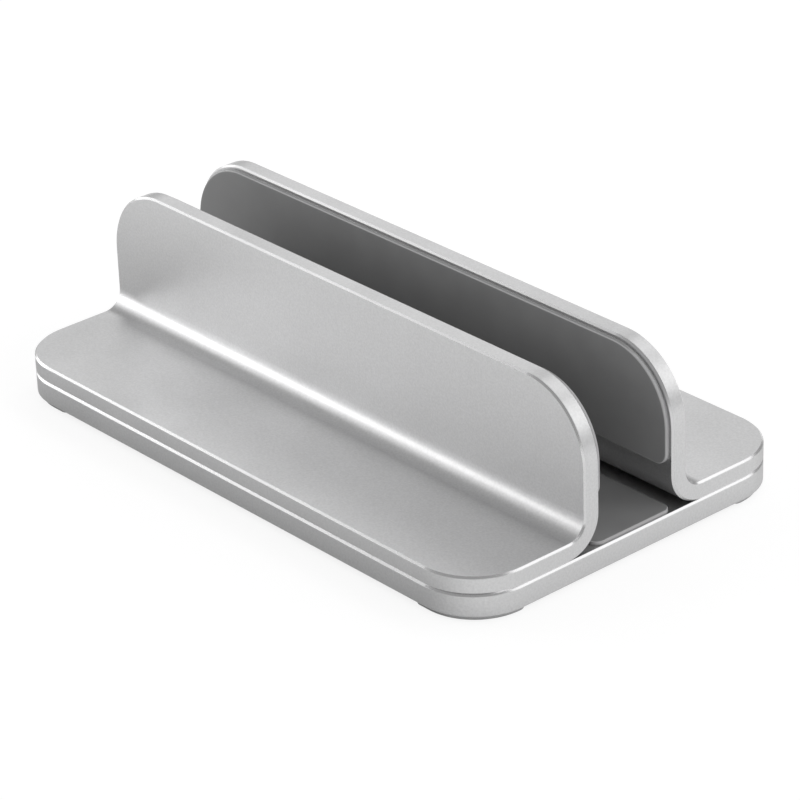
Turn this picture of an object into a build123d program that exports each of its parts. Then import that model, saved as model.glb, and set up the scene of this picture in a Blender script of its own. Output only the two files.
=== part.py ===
"""Vertical laptop stand: a base plate with two bent brackets that slide to set the slot.

Millimetres, +Z up. X runs along the slot and Y across it, from the front bracket to
the rear one. The origin is on the desk, under the middle of the base.
"""

import os
from math import sqrt

from build123d import *

# Base plate
length = 175.0
base_width = 104.6
base_thickness = 6.1
plan_corner_radius = 16.0
edge_chamfer = 0.5

# Brackets: a flange on the base and an upright beside the slot
bracket_thickness = 4.7
bracket_height = 40.5
upright_gap = 23.8
bend_inner_radius = 5.0
top_corner_radius = 19.0

# Slot between the wall pads, at its narrowest and widest settings
narrowest_slot = 14.0
widest_slot = 32.0

# Silicone wall pads on the slot sides of the uprights
wall_pad_thickness = 1.3
wall_pad_margin = 0.6
wall_pad_lift = 12.1
wall_pad_lower_radius = 3.5
pad_edge_radius = 0.3

# Silicone floor pad on the base, between the bends
floor_pad_thickness = 1.0
floor_pad_end_margin = 0.2
floor_pad_bend_clearance = 1.2
floor_pad_corner_radius = 2.6

# Silicone feet under the base's corners
foot_thickness = 1.1
foot_inset = 1.1
foot_strip_width = 8.5
foot_inner_radius = 6.0
foot_long_arm = 5.2
foot_short_arm = 2.2
foot_end_radius = 2.0
foot_edge_radius = 0.3

# Clamp screws with button heads, and their washers
thread_radius = 2.0
thread_clearance = 0.05
thread_tip_chamfer = 0.4
thread_tip_gap = 0.7
skin_over_thread = 1.0
head_radius = 3.8
head_height = 2.2
head_dome_radius = 1.7
hex_across_flats = 2.5
hex_depth = 1.3
head_recess = 0.9
washer_radius = 4.5
washer_bore_clearance = 0.15
washer_thickness = 0.8

# Slots in the base for the screws, with a pocket below each one
slot_side_clearance = 0.2
pocket_side_clearance = 0.6
pocket_chamfer = 0.3
pocket_foot_distance = 9.5

# Heights
base_bottom = foot_thickness
base_top = base_bottom + base_thickness
flange_top = base_top + bracket_thickness
bracket_top = base_top + bracket_height
pocket_depth = head_recess + head_height + washer_thickness
pocket_roof = base_bottom + pocket_depth
head_seat = pocket_roof - washer_thickness

# Widths across the slot, and how far each bracket slides
bend_outer_radius = bend_inner_radius + bracket_thickness
rest_slot = upright_gap - 2 * wall_pad_thickness
travel_in = (rest_slot - narrowest_slot) / 2
travel_out = (widest_slot - rest_slot) / 2
travel = travel_in + travel_out

# The bend curves up and away from the base, so it clears the floor pad's edge
bend_undercut = bend_outer_radius - sqrt(bend_outer_radius**2 - (bend_outer_radius - floor_pad_thickness) ** 2)
floor_pad_width = 2 * (upright_gap / 2 - travel_in + bend_undercut - floor_pad_bend_clearance)

# Screws stand in the middle of each flange's flat part, inboard of the feet
flange_flat_start = upright_gap / 2 + bend_outer_radius
screw_y = (flange_flat_start + base_width / 2) / 2
slot_radius = thread_radius + slot_side_clearance
pocket_radius = washer_radius + pocket_side_clearance
foot_long_reach = plan_corner_radius + foot_long_arm
foot_short_reach = plan_corner_radius + foot_short_arm
screw_x = length / 2 - foot_long_reach - pocket_foot_distance - pocket_radius
slot_shift = (travel_out - travel_in) / 2
thread_engagement = bracket_thickness - skin_over_thread - thread_tip_gap
screw_tip = base_top + thread_engagement

# Sides of the stand, seen from in front of the long edge
front, rear = -1, 1
left, right = -1, 1
depth_names = {front: "front", rear: "rear"}
side_names = {left: "left", right: "right"}
corners = [(depth, side) for depth in depth_names for side in side_names]

os.makedirs("parts", exist_ok=True)


def finish(piece, label):
    """Name a finished piece and write it."""
    piece.label = label
    export_step(piece, f"parts/{label}.step")


def sharp_edges(piece):
    """Edges where two faces meet at an angle, without the seams between tangent faces."""
    faces = piece.faces()

    def is_sharp(edge):
        middle = edge @ 0.5
        first, second = [face.normal_at(middle) for face in faces if edge in face.edges()]
        return first.get_angle(second) > 1

    return piece.edges().filter_by(is_sharp)


def end_of(items, axis, direction):
    """The group of items furthest along an axis in the given direction, -1 or 1."""
    return items.group_by(axis)[-1 if direction > 0 else 0]


# Base plate: a rounded plate with a slot for each screw and a pocket below it
with BuildPart() as base_plate:
    with BuildSketch(Plane.XY.offset(base_bottom)):
        RectangleRounded(length, base_width, plan_corner_radius)
    extrude(amount=base_thickness)
    chamfer(sharp_edges(base_plate), edge_chamfer)
    slot_centres = [(side * screw_x, depth * (screw_y + slot_shift)) for depth, side in corners]
    with BuildSketch(Plane.XY.offset(base_bottom)):
        with Locations(*slot_centres):
            SlotCenterToCenter(travel, 2 * slot_radius, rotation=90)
    extrude(amount=base_thickness, mode=Mode.SUBTRACT)
    with BuildSketch(Plane.XY.offset(base_bottom)):
        with Locations(*slot_centres):
            SlotCenterToCenter(travel, 2 * pocket_radius, rotation=90)
    extrude(amount=pocket_depth, mode=Mode.SUBTRACT)
    pocket_mouths = base_plate.faces().sort_by(Axis.Z)[0].inner_wires().edges()
    chamfer(pocket_mouths, pocket_chamfer)

finish(base_plate.part, "base_plate")

# Floor pad: a thin strip that the laptop's edge stands on
with BuildPart() as slot_floor_pad:
    with BuildSketch(Plane.XY.offset(base_top)):
        floor_pad_length = length - 2 * (edge_chamfer + floor_pad_end_margin)
        RectangleRounded(floor_pad_length, floor_pad_width, floor_pad_corner_radius)
    extrude(amount=floor_pad_thickness)
    fillet(slot_floor_pad.faces().sort_by(Axis.Z)[-1].edges(), pad_edge_radius)

finish(slot_floor_pad.part, "slot_floor_pad")


def make_bracket(depth):
    """One thick plate bent to an L, with rounded corners and a bevel on every edge."""
    slot_face = depth * upright_gap / 2
    outer_face = slot_face + depth * bracket_thickness
    flange_edge = depth * base_width / 2
    with BuildPart() as bracket:
        with BuildSketch(Plane.YZ) as profile:
            with BuildLine():
                Polyline(
                    (slot_face, bracket_top),
                    (slot_face, base_top),
                    (flange_edge, base_top),
                    (flange_edge, flange_top),
                    (outer_face, flange_top),
                    (outer_face, bracket_top),
                    close=True,
                )
            make_face()
            lower_corner = end_of(profile.vertices().group_by(Axis.Y)[0], Axis.X, -depth)
            fillet(lower_corner, bend_outer_radius)
            inside_corner = profile.vertices().sort_by_distance((outer_face, flange_top))[0]
            fillet(inside_corner, bend_inner_radius)
        extrude(amount=length / 2, both=True)
        fillet(end_of(bracket.edges().filter_by(Axis.Z), Axis.Y, depth), plan_corner_radius)
        fillet(end_of(bracket.edges().filter_by(Axis.Y), Axis.Z, 1), top_corner_radius)
        chamfer(sharp_edges(bracket), edge_chamfer)
        with BuildSketch(Plane.XY.offset(base_top)):
            with Locations((left * screw_x, depth * screw_y), (right * screw_x, depth * screw_y)):
                Circle(thread_radius + thread_clearance)
        extrude(amount=thread_engagement + thread_tip_gap, mode=Mode.SUBTRACT)
    return bracket.part


def make_wall_pad(depth):
    """A flat pad on an upright's slot face, parallel to the upright's top and ends."""
    slot_face = depth * upright_gap / 2
    inset = edge_chamfer + wall_pad_margin
    pad_bottom = base_top + wall_pad_lift
    pad_top = bracket_top - inset
    with BuildPart() as pad:
        with BuildSketch(Plane.XZ.offset(-slot_face)) as outline:
            with Locations((0, (pad_bottom + pad_top) / 2)):
                Rectangle(length - 2 * inset, pad_top - pad_bottom)
            fillet(outline.vertices().group_by(Axis.Y)[-1], top_corner_radius - inset)
            fillet(outline.vertices().group_by(Axis.Y)[0], wall_pad_lower_radius)
        extrude(amount=wall_pad_thickness, dir=(0, -depth, 0))
        fillet(end_of(pad.faces(), Axis.Y, -depth).edges(), pad_edge_radius)
    return pad.part


for depth, name in depth_names.items():
    finish(make_bracket(depth), f"{name}_bracket")
    finish(make_wall_pad(depth), f"{name}_bracket_pad")


def make_foot(depth, side):
    """A strip that follows one corner of the base, a little inside its outline."""
    strip_end = foot_inset + foot_strip_width
    with BuildPart() as foot:
        with BuildSketch(Plane.XY.offset(base_bottom)) as strip:
            RectangleRounded(
                length - 2 * foot_inset, base_width - 2 * foot_inset, plan_corner_radius - foot_inset
            )
            RectangleRounded(
                length - 2 * strip_end, base_width - 2 * strip_end, foot_inner_radius, mode=Mode.SUBTRACT
            )
            with Locations((side * length / 2, depth * base_width / 2)):
                Rectangle(2 * foot_long_reach, 2 * foot_short_reach, mode=Mode.INTERSECT)
            long_arm_end = end_of(strip.vertices(), Axis.X, -side)
            short_arm_end = end_of(strip.vertices(), Axis.Y, -depth)
            fillet(long_arm_end + short_arm_end, foot_end_radius)
        extrude(amount=foot_thickness, dir=(0, 0, -1))
        fillet(foot.faces().sort_by(Axis.Z)[0].edges(), foot_edge_radius)
    return foot.part


def make_screw(depth, side):
    """A button-head screw that clamps a flange down on the base, its hex socket below."""
    with BuildPart() as screw:
        with BuildSketch(Plane.XY.offset(head_seat)):
            with Locations((side * screw_x, depth * screw_y)):
                Circle(head_radius)
        extrude(amount=head_height, dir=(0, 0, -1))
        fillet(screw.edges().sort_by(Axis.Z)[0], head_dome_radius)
        with BuildSketch(Plane.XY.offset(head_seat)):
            with Locations((side * screw_x, depth * screw_y)):
                Circle(thread_radius)
        extrude(amount=screw_tip - head_seat)
        chamfer(screw.edges().sort_by(Axis.Z)[-1], thread_tip_chamfer)
        with BuildSketch(Plane.XY.offset(head_seat - head_height)):
            with Locations((side * screw_x, depth * screw_y)):
                RegularPolygon(hex_across_flats / 2, 6, major_radius=False)
        extrude(amount=hex_depth, mode=Mode.SUBTRACT)
    return screw.part


def make_washer(depth, side):
    """A flat washer between a screw's head and the roof of its pocket."""
    with BuildPart() as washer:
        with BuildSketch(Plane.XY.offset(head_seat)):
            with Locations((side * screw_x, depth * screw_y)):
                Circle(washer_radius)
                Circle(thread_radius + washer_bore_clearance, mode=Mode.SUBTRACT)
        extrude(amount=washer_thickness)
    return washer.part


for depth, side in corners:
    corner = f"{depth_names[depth]}_{side_names[side]}"
    finish(make_foot(depth, side), f"{corner}_foot")
    finish(make_screw(depth, side), f"{corner}_screw")
    finish(make_washer(depth, side), f"{corner}_washer")

print(f"slot at rest {rest_slot:.2f}, each bracket slides {travel_in:.2f} in and {travel_out:.2f} out")
print(f"screws at x {screw_x:.2f}, y {screw_y:.2f}; screw length {screw_tip - head_seat:.2f}")
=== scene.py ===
"""Vertical laptop stand: metal finishes, moulded silicone parts and a small studio.

The script is laid out as an add-on and is run as a script. Everything is in metres, in
the frame of the packed model: +X along the slot, +Y across it, +Z up from the desk.
"""

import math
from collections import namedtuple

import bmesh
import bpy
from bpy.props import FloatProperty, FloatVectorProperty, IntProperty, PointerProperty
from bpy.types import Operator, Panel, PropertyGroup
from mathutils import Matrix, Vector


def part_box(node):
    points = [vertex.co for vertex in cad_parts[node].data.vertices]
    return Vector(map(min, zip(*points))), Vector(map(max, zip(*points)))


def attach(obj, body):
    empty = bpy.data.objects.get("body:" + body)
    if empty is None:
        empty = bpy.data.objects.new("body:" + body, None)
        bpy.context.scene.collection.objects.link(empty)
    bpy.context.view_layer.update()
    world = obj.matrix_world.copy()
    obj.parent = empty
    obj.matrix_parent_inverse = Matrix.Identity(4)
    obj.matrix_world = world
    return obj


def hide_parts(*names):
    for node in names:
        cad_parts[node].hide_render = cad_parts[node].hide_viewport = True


bl_info = {
    "name": "Vertical Laptop Stand",
    "version": (1, 0, 0),
    "blender": (4, 5, 0),
    "location": "3D View > Sidebar > Laptop Stand",
    "description": "Finishes a vertical laptop stand and sets it in a plain studio",
    "category": "Object",
}

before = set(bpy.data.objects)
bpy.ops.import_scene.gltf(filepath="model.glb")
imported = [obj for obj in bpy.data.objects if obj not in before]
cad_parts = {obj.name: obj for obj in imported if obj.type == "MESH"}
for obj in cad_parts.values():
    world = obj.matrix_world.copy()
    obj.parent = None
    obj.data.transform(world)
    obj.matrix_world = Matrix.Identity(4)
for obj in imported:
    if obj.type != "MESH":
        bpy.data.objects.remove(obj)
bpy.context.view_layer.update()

MM = 0.001
WHITE = (1.0, 1.0, 1.0, 1.0)

# The part of the range from 0 to 1 that Blender's noise covers
NOISE_LOW, NOISE_HIGH = 0.3, 0.7

# How far inside the outline a bevel's look starts, and the widths over which it comes and goes
BEVEL_START = 0.05 * MM
BEVEL_FADE_IN = 0.05 * MM
BEVEL_FADE_OUT = 0.03 * MM

# A moulded face is flat where its normal has this much of one axis, and rolled below the second
# The rolled part is coloured paler, a painted highlight
FLAT_FACING, ROLLED_FACING = 0.98, 0.9

# The most of a moulding's thickness that its rolled edge takes up
LARGEST_ROLL = 0.45

# The camera's sensor in millimetres, and the nearest thing it sees in metres
SENSOR_WIDTH = 36.0
CLIP_START = 0.01

# The stand's nodes by finish
ALUMINIUM_NODES = ("base_plate", "front_bracket", "rear_bracket")
CORNERS = tuple(f"{depth}_{side}" for depth in ("front", "rear") for side in ("left", "right"))
STEEL_NODES = tuple(f"{corner}_{part}" for corner in CORNERS for part in ("screw", "washer"))

# A round soft light: where it stands round the stand, its diameter and its power
Softbox = namedtuple("Softbox", "name azimuth elevation distance size power")

# Azimuth 0 is in front of the long edge and 90 beyond the right end. Angles are in degrees,
# distances and diameters in metres and powers in watts.
SOFTBOXES = (
    Softbox("left_front", 313.0, 14.0, 1.3, 0.6, 1.7),
    Softbox("left_low", 296.0, 10.0, 1.3, 0.6, 2.7),
    Softbox("left_high", 299.0, 31.0, 1.3, 0.5, 0.7),
    Softbox("left", 276.0, 16.0, 1.3, 0.5, 1.0),
    Softbox("rear_left", 230.0, 30.0, 1.3, 0.7, 0.95),
    Softbox("rear_high", 185.0, 50.0, 1.3, 0.8, 1.7),
    Softbox("right_rear", 134.0, 34.0, 1.3, 1.0, 3.0),
    Softbox("right", 92.0, 26.0, 1.3, 0.6, 1.5),
)


class AluminiumFinish(PropertyGroup):
    """Bead-blasted, clear anodised aluminium."""

    colour: FloatVectorProperty(
        name="Colour", description="Colour of the anodised metal", subtype="COLOR",
        default=(0.6, 0.6, 0.603), min=0.0, max=1.0,
    )
    roughness: FloatProperty(
        name="Roughness", description="Roughness of the blasted skin",
        default=0.38, min=0.0, max=1.0,
    )
    roughness_spread: FloatProperty(
        name="Roughness spread", description="How far the roughness wanders over the plate",
        default=0.03, min=0.0, max=0.3,
    )
    wander_size: FloatProperty(
        name="Wander size", description="Size of the patches in which the roughness wanders",
        default=18.0 * MM, subtype="DISTANCE", unit="LENGTH", precision=5,
    )
    tone_spread: FloatProperty(
        name="Tone spread", description="How much lighter or darker a dimple is than the skin",
        default=0.06, min=0.0, max=0.5,
    )
    grain_size: FloatProperty(
        name="Grain size", description="Size of the dimples that the beads leave",
        default=0.55 * MM, subtype="DISTANCE", unit="LENGTH", precision=5,
    )
    grain_height: FloatProperty(
        name="Grain height", description="Height of the dimples",
        default=0.004 * MM, subtype="DISTANCE", unit="LENGTH", precision=6,
    )
    fine_grain_size: FloatProperty(
        name="Fine grain size", description="Size of the smaller dimples among them",
        default=0.22 * MM, subtype="DISTANCE", unit="LENGTH", precision=5,
    )
    fine_grain_height: FloatProperty(
        name="Fine grain height", description="Height of the smaller dimples",
        default=0.0012 * MM, subtype="DISTANCE", unit="LENGTH", precision=6,
    )
    bevel_colour: FloatVectorProperty(
        name="Bevel colour", description="Colour of the bevels, cut after blasting",
        subtype="COLOR", default=(0.62, 0.62, 0.623), min=0.0, max=1.0,
    )
    bevel_roughness: FloatProperty(
        name="Bevel roughness", description="Roughness of the cut bevels",
        default=0.26, min=0.0, max=1.0,
    )
    bevel_width: FloatProperty(
        name="Bevel width", description="Width of the bevels, seen square to a plate",
        default=0.5 * MM, subtype="DISTANCE", unit="LENGTH", precision=5,
    )
    plan_corner_radius: FloatProperty(
        name="Plan corner radius", description="Radius of the plates' corners, seen from above",
        default=16.0 * MM, subtype="DISTANCE", unit="LENGTH", precision=5,
    )
    top_corner_radius: FloatProperty(
        name="Top corner radius", description="Radius of the uprights' top corners",
        default=19.0 * MM, subtype="DISTANCE", unit="LENGTH", precision=5,
    )


class SiliconeFinish(PropertyGroup):
    """Moulded grey silicone."""

    colour: FloatVectorProperty(
        name="Colour", description="Colour of the silicone", subtype="COLOR",
        default=(0.28, 0.28, 0.282), min=0.0, max=1.0,
    )
    roughness: FloatProperty(
        name="Roughness", description="Roughness of the moulded skin",
        default=0.5, min=0.0, max=1.0,
    )
    # Painted highlight: the rolled edges get a paler colour that stands in for the light they
    # catch.
    painted_edge_highlight: FloatVectorProperty(
        name="Edge colour", description="Colour of the rolled edges, which let more light through",
        subtype="COLOR", default=(0.5, 0.5, 0.503), min=0.0, max=1.0,
    )
    grain_size: FloatProperty(
        name="Grain size", description="Size of the mould's fine texture",
        default=0.3 * MM, subtype="DISTANCE", unit="LENGTH", precision=5,
    )
    grain_height: FloatProperty(
        name="Grain height", description="Height of the mould's fine texture",
        default=0.004 * MM, subtype="DISTANCE", unit="LENGTH", precision=6,
    )
    cloud_size: FloatProperty(
        name="Cloud size", description="Size of the patches of uneven tone and roughness",
        default=9.0 * MM, subtype="DISTANCE", unit="LENGTH", precision=5,
    )
    cloud_spread: FloatProperty(
        name="Cloud spread", description="How far tone and roughness go up and down in them",
        default=0.04, min=0.0, max=0.3,
    )


class SteelFinish(PropertyGroup):
    """Zinc-plated steel of the screws and washers."""

    colour: FloatVectorProperty(
        name="Colour", description="Colour of the plated steel", subtype="COLOR",
        default=(0.52, 0.53, 0.55), min=0.0, max=1.0,
    )
    darkest: FloatProperty(
        name="Darkest", description="Share of the colour left in the darkest patches",
        default=0.92, min=0.0, max=1.0,
    )
    lightest: FloatProperty(
        name="Lightest", description="Share of the colour in the lightest patches",
        default=1.06, min=1.0, max=1.5,
    )
    cloud_size: FloatProperty(
        name="Cloud size", description="Size of the lighter and darker patches",
        default=1.5 * MM, subtype="DISTANCE", unit="LENGTH", precision=5,
    )
    least_roughness: FloatProperty(
        name="Least roughness", description="Roughness of the plating between its fine marks",
        default=0.24, min=0.0, max=1.0,
    )
    most_roughness: FloatProperty(
        name="Most roughness", description="Roughness of the plating on its fine marks",
        default=0.4, min=0.0, max=1.0,
    )
    mark_size: FloatProperty(
        name="Mark size", description="Size of the fine marks",
        default=0.12 * MM, subtype="DISTANCE", unit="LENGTH", precision=5,
    )
    mark_height: FloatProperty(
        name="Mark height", description="Height of the fine marks",
        default=0.003 * MM, subtype="DISTANCE", unit="LENGTH", precision=6,
    )


class PadShape(PropertyGroup):
    """Outlines and rolled edges of the moulded silicone parts."""

    edge_radius: FloatProperty(
        name="Edge radius", description="Radius of the rolled edge",
        default=0.35 * MM, subtype="DISTANCE", unit="LENGTH", precision=5,
    )
    edge_steps: IntProperty(
        name="Edge steps", description="Number of facets across the rolled edge",
        default=5, min=1, max=16,
    )
    corner_steps: IntProperty(
        name="Corner steps", description="Number of facets round each corner",
        default=24, min=2, max=96,
    )
    wall_top_radius: FloatProperty(
        name="Wall pad top radius", description="Radius of a wall pad's upper corners",
        default=17.9 * MM, subtype="DISTANCE", unit="LENGTH", precision=5,
    )
    wall_bottom_radius: FloatProperty(
        name="Wall pad bottom radius", description="Radius of a wall pad's lower corners",
        default=3.5 * MM, subtype="DISTANCE", unit="LENGTH", precision=5,
    )
    floor_radius: FloatProperty(
        name="Floor pad radius", description="Radius of the floor pad's corners",
        default=2.6 * MM, subtype="DISTANCE", unit="LENGTH", precision=5,
    )
    foot_outer_radius: FloatProperty(
        name="Foot outer radius", description="Radius of a foot round the base's corner",
        default=14.9 * MM, subtype="DISTANCE", unit="LENGTH", precision=5,
    )
    foot_inner_radius: FloatProperty(
        name="Foot inner radius", description="Radius of a foot's inner bend",
        default=6.0 * MM, subtype="DISTANCE", unit="LENGTH", precision=5,
    )
    foot_end_radius: FloatProperty(
        name="Foot end radius", description="Radius at the ends of a foot's arms",
        default=2.0 * MM, subtype="DISTANCE", unit="LENGTH", precision=5,
    )
    foot_strip_width: FloatProperty(
        name="Foot strip width", description="Width of a foot's arms",
        default=8.5 * MM, subtype="DISTANCE", unit="LENGTH", precision=5,
    )


class Studio(PropertyGroup):
    """Camera, floor and light."""

    camera_azimuth: FloatProperty(
        name="Camera azimuth", description="Angle round the stand, from the front to the right",
        default=math.radians(49.41), subtype="ANGLE", unit="ROTATION",
    )
    camera_elevation: FloatProperty(
        name="Camera elevation", description="Angle above the desk",
        default=math.radians(27.19), subtype="ANGLE", unit="ROTATION",
    )
    camera_roll: FloatProperty(
        name="Camera roll", description="Turn of the camera about its own line of sight",
        default=math.radians(-2.07), subtype="ANGLE", unit="ROTATION",
    )
    camera_distance: FloatProperty(
        name="Camera distance", description="From the camera to the point it looks at",
        default=0.92816, subtype="DISTANCE", unit="LENGTH",
    )
    camera_target: FloatVectorProperty(
        name="Camera target", description="The point in the middle of the picture",
        default=(0.00661, -0.00197, 0.01273), subtype="TRANSLATION", unit="LENGTH", precision=5,
    )
    camera_lens: FloatProperty(
        name="Camera lens", description="Focal length in millimetres on a 36 mm sensor",
        default=169.15, min=10.0, max=500.0,
    )
    floor_size: FloatProperty(
        name="Floor size", description="Side of the square floor",
        default=12.0, subtype="DISTANCE", unit="LENGTH",
    )
    floor_tone: FloatProperty(
        name="Floor tone", description="Share of the light that the floor sends back to the stand",
        default=0.82, min=0.0, max=1.0,
    )
    seen_tone: FloatProperty(
        name="Seen tone", description="Share of the light that the floor returns to the camera",
        default=0.26, min=0.0, max=1.0,
    )
    seen_lift: FloatProperty(
        name="Seen lift", description="Glow of the floor to the camera, also in a shadow",
        default=0.82, min=0.0, max=1.0,
    )
    # Painted reflection: these settings grade a floor glow that only the metal mirrors, dim along
    # the long sides and bright away from them and past the right end.
    beside_lift: FloatProperty(
        name="Beside lift", description="Glow of the mirrored floor along the long sides",
        default=0.02, min=0.0, max=1.0,
    )
    away_lift: FloatProperty(
        name="Away lift", description="Glow of the mirrored floor away from the long sides",
        default=0.6, min=0.0, max=1.0,
    )
    away_from: FloatProperty(
        name="Away from", description="Distance from the middle at which it starts to glow more",
        default=65.0 * MM, subtype="DISTANCE", unit="LENGTH", precision=5,
    )
    away_to: FloatProperty(
        name="Away to", description="Distance from the middle at which its glow is full",
        default=110.0 * MM, subtype="DISTANCE", unit="LENGTH", precision=5,
    )
    end_lift: FloatProperty(
        name="End lift", description="Glow of the mirrored floor beyond the right end",
        default=0.42, min=0.0, max=1.0,
    )
    end_from: FloatProperty(
        name="End from", description="Distance to the right at which the glow of the end starts",
        default=70.0 * MM, subtype="DISTANCE", unit="LENGTH", precision=5,
    )
    end_to: FloatProperty(
        name="End to", description="Distance to the right at which the glow of the end is full",
        default=95.0 * MM, subtype="DISTANCE", unit="LENGTH", precision=5,
    )
    sky_strength: FloatProperty(
        name="Sky strength", description="Strength of the even light from all sides",
        default=0.46, min=0.0, max=2.0,
    )


SETTINGS = {
    "stand_aluminium": AluminiumFinish,
    "stand_silicone": SiliconeFinish,
    "stand_steel": SteelFinish,
    "stand_pads": PadShape,
    "stand_studio": Studio,
}


def blank_material(name):
    """A new material with a Principled shader, and its node tree."""
    material = bpy.data.materials.new(name)
    material.use_nodes = True
    return material, material.node_tree, material.node_tree.nodes["Principled BSDF"]


def object_position(tree):
    """The object's own coordinates, so that a texture moves with its piece."""
    return tree.nodes.new("ShaderNodeTexCoord").outputs["Object"]


def noise(tree, position, size, detail=2.0, roughness=0.5):
    """Noise whose features are about the given size."""
    node = tree.nodes.new("ShaderNodeTexNoise")
    node.inputs["Scale"].default_value = 1.0 / size
    node.inputs["Detail"].default_value = detail
    node.inputs["Roughness"].default_value = roughness
    tree.links.new(position, node.inputs["Vector"])
    return node.outputs["Fac"]


def spread(tree, value, low, high):
    """Stretch a noise value over the range from low to high."""
    node = tree.nodes.new("ShaderNodeMapRange")
    node.inputs["From Min"].default_value = NOISE_LOW
    node.inputs["From Max"].default_value = NOISE_HIGH
    node.inputs["To Min"].default_value = low
    node.inputs["To Max"].default_value = high
    tree.links.new(value, node.inputs["Value"])
    return node.outputs["Result"]


def ramp(tree, value, start, end):
    """0 up to the start, 1 past the end and straight between them. The start may be the higher."""
    node = tree.nodes.new("ShaderNodeMapRange")
    node.inputs["From Min"].default_value = start
    node.inputs["From Max"].default_value = end
    tree.links.new(value, node.inputs["Value"])
    return node.outputs["Result"]


def between(tree, factor, low, high):
    """A value that goes from low to high as the factor goes from 0 to 1."""
    node = tree.nodes.new("ShaderNodeMapRange")
    node.inputs["To Min"].default_value = low
    node.inputs["To Max"].default_value = high
    tree.links.new(factor, node.inputs["Value"])
    return node.outputs["Result"]


def tint(tree, colour, factor):
    """A colour made lighter or darker by a factor that varies over the surface."""
    node = tree.nodes.new("ShaderNodeVectorMath")
    node.operation = "SCALE"
    node.inputs[0].default_value = colour[:3]
    tree.links.new(factor, node.inputs["Scale"])
    return node.outputs["Vector"]


def mixed(tree, factor, below, above):
    """The first colour where the factor is 0 and the second, a plain colour, where it is 1."""
    node = tree.nodes.new("ShaderNodeMix")
    node.data_type = "RGBA"
    sockets = {socket.identifier: socket for socket in (*node.inputs, *node.outputs)}
    sockets["B_Color"].default_value = (*above[:3], 1.0)
    tree.links.new(factor, sockets["Factor_Float"])
    tree.links.new(below, sockets["A_Color"])
    return sockets["Result_Color"]


def bump(tree, height, depth, previous=None):
    """Raise a surface by a height value from 0 to 1, times a depth in metres."""
    node = tree.nodes.new("ShaderNodeBump")
    node.inputs["Distance"].default_value = depth
    tree.links.new(height, node.inputs["Height"])
    if previous is not None:
        tree.links.new(previous, node.inputs["Normal"])
    return node.outputs["Normal"]


def maths(tree, operation, first, second=0.0):
    """A Math node's result. Each input is a number or another node's output."""
    node = tree.nodes.new("ShaderNodeMath")
    node.operation = operation
    for socket, value in zip(node.inputs, (first, second)):
        if isinstance(value, bpy.types.NodeSocket):
            tree.links.new(value, socket)
        else:
            socket.default_value = value
    return node.outputs["Value"]


def depth_inside(tree, past_centre_a, past_centre_b, radius):
    """How far a point is inside a rounded outline.

    The point is given by how far it is past the centre of the corner's arc, each way.
    """
    beyond_a = maths(tree, "MAXIMUM", past_centre_a, 0.0)
    beyond_b = maths(tree, "MAXIMUM", past_centre_b, 0.0)
    square_a = maths(tree, "POWER", beyond_a, 2.0)
    square_b = maths(tree, "POWER", beyond_b, 2.0)
    from_centre = maths(tree, "SQRT", maths(tree, "ADD", square_a, square_b))
    before = maths(tree, "MINIMUM", maths(tree, "MAXIMUM", past_centre_a, past_centre_b), 0.0)
    reach = maths(tree, "ADD", from_centre, before)
    return maths(tree, "SUBTRACT", radius, reach)


def bevel_mask(tree, position, look):
    """1 on the bevels round the plates' outlines and 0 on the blasted faces and rims."""
    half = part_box("base_plate")[1]
    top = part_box("front_bracket")[1].z
    split = tree.nodes.new("ShaderNodeSeparateXYZ")
    tree.links.new(position, split.inputs["Vector"])
    x = maths(tree, "ABSOLUTE", split.outputs["X"])
    y = maths(tree, "ABSOLUTE", split.outputs["Y"])
    plan = depth_inside(
        tree,
        maths(tree, "SUBTRACT", x, half.x - look.plan_corner_radius),
        maths(tree, "SUBTRACT", y, half.y - look.plan_corner_radius),
        look.plan_corner_radius,
    )
    side_on = depth_inside(
        tree,
        maths(tree, "SUBTRACT", x, half.x - look.top_corner_radius),
        maths(tree, "SUBTRACT", split.outputs["Z"], top - look.top_corner_radius),
        look.top_corner_radius,
    )
    depth = maths(tree, "MINIMUM", plan, side_on)
    past_rim = ramp(tree, depth, BEVEL_START, BEVEL_START + BEVEL_FADE_IN)
    past_bevel = ramp(tree, depth, look.bevel_width, look.bevel_width + BEVEL_FADE_OUT)
    return maths(tree, "SUBTRACT", past_rim, past_bevel)


def aluminium_material(look):
    """Blasted skin with dimples of two sizes and a wandering shine, and smoother cut bevels."""
    material, tree, shader = blank_material("blasted_aluminium")
    position = object_position(tree)
    shader.inputs["Metallic"].default_value = 1.0
    wander = noise(tree, position, look.wander_size, detail=3.0)
    dimples = noise(tree, position, look.grain_size, roughness=0.6)
    fine_dimples = noise(tree, position, look.fine_grain_size, detail=1.0)
    bevel = bevel_mask(tree, position, look)
    tone = spread(tree, dimples, 1.0 - look.tone_spread, 1.0 + look.tone_spread)
    colour = mixed(tree, bevel, tint(tree, look.colour, tone), look.bevel_colour)
    tree.links.new(colour, shader.inputs["Base Color"])
    low = look.roughness - look.roughness_spread
    high = look.roughness + look.roughness_spread
    blasted = spread(tree, wander, low, high)
    cut = maths(tree, "MULTIPLY", bevel, look.bevel_roughness - look.roughness)
    tree.links.new(maths(tree, "ADD", blasted, cut), shader.inputs["Roughness"])
    skin = maths(tree, "SUBTRACT", 1.0, bevel)
    coarse = bump(tree, maths(tree, "MULTIPLY", dimples, skin), look.grain_height)
    fine = bump(tree, maths(tree, "MULTIPLY", fine_dimples, skin), look.fine_grain_height, coarse)
    tree.links.new(fine, shader.inputs["Normal"])
    return material


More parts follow.
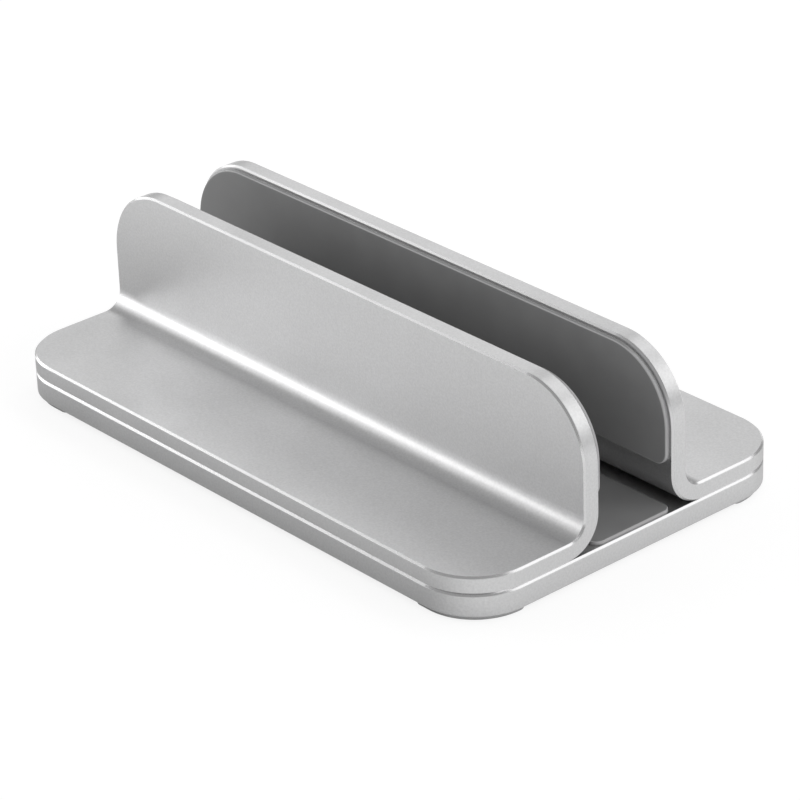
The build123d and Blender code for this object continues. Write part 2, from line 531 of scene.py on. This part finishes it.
def silicone_material(look):
    """Matt silicone with the mould's fine texture, a faintly uneven tone and a painted highlight:
    paler rolled edges.
    """
    material, tree, shader = blank_material("grey_silicone")
    coordinates = tree.nodes.new("ShaderNodeTexCoord").outputs
    texture = noise(tree, coordinates["Object"], look.grain_size, roughness=0.6)
    cloud = noise(tree, coordinates["Object"], look.cloud_size, detail=3.0)
    normal = tree.nodes.new("ShaderNodeSeparateXYZ")
    tree.links.new(coordinates["Normal"], normal.inputs["Vector"])
    across = maths(tree, "ABSOLUTE", normal.outputs["Y"])
    upwards = maths(tree, "ABSOLUTE", normal.outputs["Z"])
    # Painted highlight: where the normal leaves the flat faces, the rolled edges get the paler
    # colour.
    edge = ramp(tree, maths(tree, "MAXIMUM", across, upwards), FLAT_FACING, ROLLED_FACING)
    tone = spread(tree, cloud, 1.0 - look.cloud_spread, 1.0 + look.cloud_spread)
    colour = mixed(tree, edge, tint(tree, look.colour, tone), look.painted_edge_highlight)
    tree.links.new(colour, shader.inputs["Base Color"])
    low = look.roughness - look.cloud_spread
    high = look.roughness + look.cloud_spread
    tree.links.new(spread(tree, cloud, low, high), shader.inputs["Roughness"])
    tree.links.new(bump(tree, texture, look.grain_height), shader.inputs["Normal"])
    return material


def steel_material(look):
    """Plated steel with fine marks and an uneven tone and shine."""
    material, tree, shader = blank_material("plated_steel")
    position = object_position(tree)
    shader.inputs["Metallic"].default_value = 1.0
    cloud = noise(tree, position, look.cloud_size, detail=3.0)
    marks = noise(tree, position, look.mark_size)
    tone = spread(tree, cloud, look.darkest, look.lightest)
    roughness = spread(tree, marks, look.least_roughness, look.most_roughness)
    tree.links.new(tint(tree, look.colour, tone), shader.inputs["Base Color"])
    tree.links.new(roughness, shader.inputs["Roughness"])
    tree.links.new(bump(tree, marks, look.mark_height), shader.inputs["Normal"])
    return material


def dress(names, material):
    """Give CAD nodes a material, and leave their shape and place alone."""
    for name in names:
        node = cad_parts[name]
        if not node.material_slots:
            raise RuntimeError(f"{name} has no material slot")
        for slot in node.material_slots:
            slot.material = material


def rounded_outline(corners, steps):
    """Points and outward normals round a closed outline.

    Its corners are given anticlockwise, each as a point and a radius.
    """
    points = [Vector(point) for point, _ in corners]
    outline = []
    for i, (_, radius) in enumerate(corners):
        corner = points[i]
        arriving = (corner - points[i - 1]).normalized()
        leaving = (points[(i + 1) % len(points)] - corner).normalized()
        turn = math.atan2(arriving.x * leaving.y - arriving.y * leaving.x, arriving.dot(leaving))
        side = math.copysign(1.0, turn)
        start_normal = Vector((arriving.y, -arriving.x))
        start = corner - arriving * radius * math.tan(abs(turn) / 2)
        centre = start - start_normal * radius * side
        for step in range(steps + 1):
            normal = Matrix.Rotation(turn * step / steps, 2) @ start_normal
            outline.append((centre + normal * radius * side, normal))
    return outline


def moulded_part(name, outline, placement, thickness, shape):
    """A flat moulding that stands on its outline, with a rolled edge round its free face.

    The placement is a matrix that takes the outline's plane and height into the frame.
    """
    roll = min(shape.edge_radius, LARGEST_ROLL * thickness)
    profile = [(0.0, 0.0)]
    for step in range(shape.edge_steps + 1):
        angle = math.pi / 2 * step / shape.edge_steps
        profile.append((roll * (1 - math.cos(angle)), thickness - roll + roll * math.sin(angle)))
    flat_start = (2 * roll, thickness)
    profile.append(flat_start)
    mesh = bmesh.new()
    rings = []
    for inset, height in profile:
        ring = []
        for point, normal in outline:
            place = point - normal * inset
            ring.append(mesh.verts.new(placement @ Vector((place.x, place.y, height))))
        rings.append(ring)
    count = len(outline)
    for lower, upper in zip(rings, rings[1:]):
        for i in range(count):
            j = (i + 1) % count
            face = mesh.faces.new((lower[i], lower[j], upper[j], upper[i]))
            face.smooth = True
    mesh.faces.new(rings[-1]).smooth = True
    mesh.faces.new(reversed(rings[0]))
    bmesh.ops.recalc_face_normals(mesh, faces=mesh.faces)
    data = bpy.data.meshes.new(name)
    mesh.to_mesh(data)
    mesh.free()
    part = bpy.data.objects.new(name, data)
    bpy.context.scene.collection.objects.link(part)
    return part


def stand_for(part, node, body, material):
    """Put a moulded part in the place of its CAD node."""
    part.data.materials.append(material)
    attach(part, body)
    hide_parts(node)


def rectangle(low, high, bottom_radius, top_radius):
    """Corners of an upright rectangle, anticlockwise from the lower left."""
    return (
        ((low[0], low[1]), bottom_radius),
        ((high[0], low[1]), bottom_radius),
        ((high[0], high[1]), top_radius),
        ((low[0], high[1]), top_radius),
    )


def silicone():
    """The silicone material, made once."""
    made = bpy.data.materials.get("grey_silicone")
    return made or silicone_material(bpy.context.scene.stand_silicone)


class STAND_OT_finish_aluminium(Operator):
    """Give the base plate and both brackets their blasted aluminium"""

    bl_idname = "stand.finish_aluminium"
    bl_label = "Finish the Aluminium"

    def execute(self, context):
        dress(ALUMINIUM_NODES, aluminium_material(context.scene.stand_aluminium))
        return {"FINISHED"}


class STAND_OT_finish_fasteners(Operator):
    """Give the clamp screws and washers their plated steel"""

    bl_idname = "stand.finish_fasteners"
    bl_label = "Finish the Fasteners"

    def execute(self, context):
        dress(STEEL_NODES, steel_material(context.scene.stand_steel))
        return {"FINISHED"}


class STAND_OT_build_wall_pads(Operator):
    """Mould a pad on the slot side of each upright"""

    bl_idname = "stand.build_wall_pads"
    bl_label = "Build the Wall Pads"

    def execute(self, context):
        shape = context.scene.stand_pads
        for depth, towards_slot in (("front", 1), ("rear", -1)):
            node = f"{depth}_bracket_pad"
            low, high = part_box(node)
            corners = rectangle(
                (low.x, low.z), (high.x, high.z), shape.wall_bottom_radius, shape.wall_top_radius
            )
            outline = rounded_outline(corners, shape.corner_steps)
            glued_face = low.y if towards_slot > 0 else high.y
            placement = Matrix((
                (1, 0, 0, 0),
                (0, 0, towards_slot, glued_face),
                (0, 1, 0, 0),
                (0, 0, 0, 1),
            ))
            pad = moulded_part(f"{depth}_wall_pad", outline, placement, high.y - low.y, shape)
            stand_for(pad, node, f"{depth}_carriage", silicone())
        return {"FINISHED"}


class STAND_OT_build_floor_pad(Operator):
    """Mould the strip that the laptop's edge stands on"""

    bl_idname = "stand.build_floor_pad"
    bl_label = "Build the Floor Pad"

    def execute(self, context):
        shape = context.scene.stand_pads
        low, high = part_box("slot_floor_pad")
        radius = shape.floor_radius
        corners = rectangle((low.x, low.y), (high.x, high.y), radius, radius)
        outline = rounded_outline(corners, shape.corner_steps)
        placement = Matrix.Translation((0, 0, low.z))
        pad = moulded_part("floor_pad", outline, placement, high.z - low.z, shape)
        stand_for(pad, "slot_floor_pad", "base", silicone())
        return {"FINISHED"}


class STAND_OT_build_feet(Operator):
    """Mould the four strips under the base's corners"""

    bl_idname = "stand.build_feet"
    bl_label = "Build the Feet"

    def execute(self, context):
        shape = context.scene.stand_pads
        for corner in CORNERS:
            node = f"{corner}_foot"
            low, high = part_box(node)
            side = 1 if low.x > 0 else -1
            depth = 1 if low.y > 0 else -1
            width, breadth = high.x - low.x, high.y - low.y
            strip = shape.foot_strip_width
            corners = (
                ((0, 0), shape.foot_outer_radius),
                ((-width, 0), shape.foot_end_radius),
                ((-width, -strip), shape.foot_end_radius),
                ((-strip, -strip), shape.foot_inner_radius),
                ((-strip, -breadth), shape.foot_end_radius),
                ((0, -breadth), shape.foot_end_radius),
            )
            outline = rounded_outline(corners, shape.corner_steps)
            outer_x = high.x if side > 0 else low.x
            outer_y = high.y if depth > 0 else low.y
            placement = Matrix((
                (side, 0, 0, outer_x),
                (0, depth, 0, outer_y),
                (0, 0, -1, high.z),
                (0, 0, 0, 1),
            ))
            foot = moulded_part(f"{corner}_corner_foot", outline, placement, high.z - low.z, shape)
            stand_for(foot, node, "base", silicone())
        return {"FINISHED"}


def towards(azimuth, elevation):
    """Unit vector from the stand towards a point at these angles, in radians."""
    flat = math.cos(elevation)
    return Vector((math.sin(azimuth) * flat, -math.cos(azimuth) * flat, math.sin(elevation)))


def build_camera(studio):
    """The camera, at the viewing angle of the photograph."""
    data = bpy.data.cameras.new("camera")
    data.sensor_width = SENSOR_WIDTH
    data.lens = studio.camera_lens
    data.clip_start = CLIP_START
    camera = bpy.data.objects.new("camera", data)
    back = towards(studio.camera_azimuth, studio.camera_elevation)
    right = Vector((math.cos(studio.camera_azimuth), math.sin(studio.camera_azimuth), 0))
    up = back.cross(right)
    turn = Matrix.Rotation(studio.camera_roll, 3, back)
    axes = Matrix((turn @ right, turn @ up, back)).transposed()
    place = Vector(studio.camera_target) + back * studio.camera_distance
    camera.matrix_world = Matrix.Translation(place) @ axes.to_4x4()
    bpy.context.scene.collection.objects.link(camera)
    bpy.context.scene.camera = camera


def build_softbox(box):
    """A round area light that faces the stand."""
    data = bpy.data.lights.new(box.name, "AREA")
    data.shape = "DISK"
    data.size = box.size
    data.energy = box.power
    light = bpy.data.objects.new(box.name, data)
    direction = towards(math.radians(box.azimuth), math.radians(box.elevation))
    light.location = direction * box.distance
    light.rotation_euler = direction.to_track_quat("Z", "Y").to_euler()
    bpy.context.scene.collection.objects.link(light)


def painted_floor_reflection(tree, studio):
    """Painted reflection: a glow that only mirrored rays see, weak along the long sides and
    growing away from them and past the end, so that the long rims mirror darker than the right
    end.
    """
    split = tree.nodes.new("ShaderNodeSeparateXYZ")
    tree.links.new(object_position(tree), split.inputs["Vector"])
    from_middle = maths(tree, "ABSOLUTE", split.outputs["Y"])
    away = ramp(tree, from_middle, studio.away_from, studio.away_to)
    past_end = ramp(tree, split.outputs["X"], studio.end_from, studio.end_to)
    beside = between(tree, away, studio.beside_lift, studio.away_lift)
    beyond = between(tree, past_end, 0.0, studio.end_lift)
    return maths(tree, "MAXIMUM", beside, beyond)


def floor_material(studio):
    """Matt and pale, nearly white to the camera, with a painted reflection: a glow graded by place
    where the metal mirrors it.
    """
    material, tree, shader = blank_material("pale_floor")
    shader.inputs["Roughness"].default_value = 1.0
    shader.inputs["Specular IOR Level"].default_value = 0.0
    shader.inputs["Emission Color"].default_value = WHITE
    path = tree.nodes.new("ShaderNodeLightPath").outputs
    camera = path["Is Camera Ray"]
    mirrored = maths(tree, "MAXIMUM", path["Is Glossy Ray"], path["Is Transmission Ray"])
    tone = between(tree, camera, studio.floor_tone, studio.seen_tone)
    tree.links.new(tone, shader.inputs["Base Color"])
    seen = maths(tree, "MULTIPLY", camera, studio.seen_lift)
    # Painted reflection: glossy and transmission rays see the graded glow, so the metal mirrors a
    # floor that is darker along the long sides.
    in_metal = maths(tree, "MULTIPLY", mirrored, painted_floor_reflection(tree, studio))
    tree.links.new(maths(tree, "ADD", seen, in_metal), shader.inputs["Emission Strength"])
    return material


def build_floor(studio):
    """A large square floor at the height of the desk."""
    half = studio.floor_size / 2
    corners = [(-half, -half, 0), (half, -half, 0), (half, half, 0), (-half, half, 0)]
    data = bpy.data.meshes.new("floor")
    data.from_pydata(corners, [], [(0, 1, 2, 3)])
    data.materials.append(floor_material(studio))
    floor = bpy.data.objects.new("floor", data)
    bpy.context.scene.collection.objects.link(floor)


def build_sky(studio):
    """Even light from all sides, which the camera sees as white."""
    world = bpy.data.worlds.new("studio")
    world.use_nodes = True
    tree = world.node_tree
    sky = tree.nodes["Background"]
    sky.inputs["Color"].default_value = WHITE
    camera = tree.nodes.new("ShaderNodeLightPath").outputs["Is Camera Ray"]
    tree.links.new(between(tree, camera, studio.sky_strength, 1.0), sky.inputs["Strength"])
    bpy.context.scene.world = world


class STAND_OT_build_studio(Operator):
    """Set up the floor, the soft light and the camera"""

    bl_idname = "stand.build_studio"
    bl_label = "Build the Studio"

    def execute(self, context):
        studio = context.scene.stand_studio
        build_floor(studio)
        build_sky(studio)
        for box in SOFTBOXES:
            build_softbox(box)
        build_camera(studio)
        context.scene.view_settings.view_transform = "Standard"
        return {"FINISHED"}


class STAND_PT_panel(Panel):
    """The stand's pieces and the studio, in the order in which they are built"""

    bl_idname = "STAND_PT_panel"
    bl_label = "Laptop Stand"
    bl_space_type = "VIEW_3D"
    bl_region_type = "UI"
    bl_category = "Laptop Stand"

    def draw(self, context):
        for operator in OPERATORS:
            self.layout.operator(operator.bl_idname)
        for attribute, group in SETTINGS.items():
            box = self.layout.box()
            box.label(text=group.__doc__)
            for name in group.__annotations__:
                box.prop(getattr(context.scene, attribute), name)


OPERATORS = (
    STAND_OT_finish_aluminium,
    STAND_OT_finish_fasteners,
    STAND_OT_build_wall_pads,
    STAND_OT_build_floor_pad,
    STAND_OT_build_feet,
    STAND_OT_build_studio,
)
CLASSES = (*SETTINGS.values(), *OPERATORS, STAND_PT_panel)


def register():
    for cls in CLASSES:
        bpy.utils.register_class(cls)
    for attribute, group in SETTINGS.items():
        setattr(bpy.types.Scene, attribute, PointerProperty(type=group))


def unregister():
    for attribute in SETTINGS:
        delattr(bpy.types.Scene, attribute)
    for cls in reversed(CLASSES):
        bpy.utils.unregister_class(cls)


def main():
    """Register the classes and build everything in order."""
    register()
    bpy.ops.stand.finish_aluminium()
    bpy.ops.stand.finish_fasteners()
    bpy.ops.stand.build_wall_pads()
    bpy.ops.stand.build_floor_pad()
    bpy.ops.stand.build_feet()
    bpy.ops.stand.build_studio()


if __name__ == "__main__":
    main()
